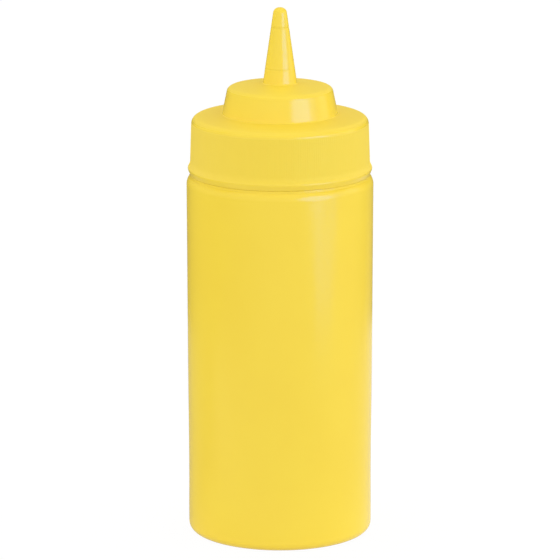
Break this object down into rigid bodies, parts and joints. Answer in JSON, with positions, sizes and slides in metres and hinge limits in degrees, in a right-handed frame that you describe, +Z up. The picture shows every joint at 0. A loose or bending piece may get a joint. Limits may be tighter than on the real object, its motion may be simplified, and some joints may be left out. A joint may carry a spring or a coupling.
{
  "type": "squeeze bottle",
  "caption": "Upright round squeeze bottle for sauce, with a wide screw cap, a raised step and a tapered nozzle with a closed tip, all in opaque yellow plastic.",
  "frame": {"origin": "on the floor, at the middle of the bottle's standing ring", "axes": "+Z up along the bottle's axis, towards the nozzle's tip; the part is turned about Z, so X and Y are free"},
  "size_m": [0.0698, 0.0698, 0.2],
  "materials": {
    "bottle_plastic": "opaque yellow polyethylene, satin, very slightly uneven as blown",
    "cap_plastic": "opaque yellow polyethylene, satin, moulded"
  },
  "bodies": {
    "root": {"bottle": "bottle_plastic", "cap": "cap_plastic"}
  },
  "joints": []
}
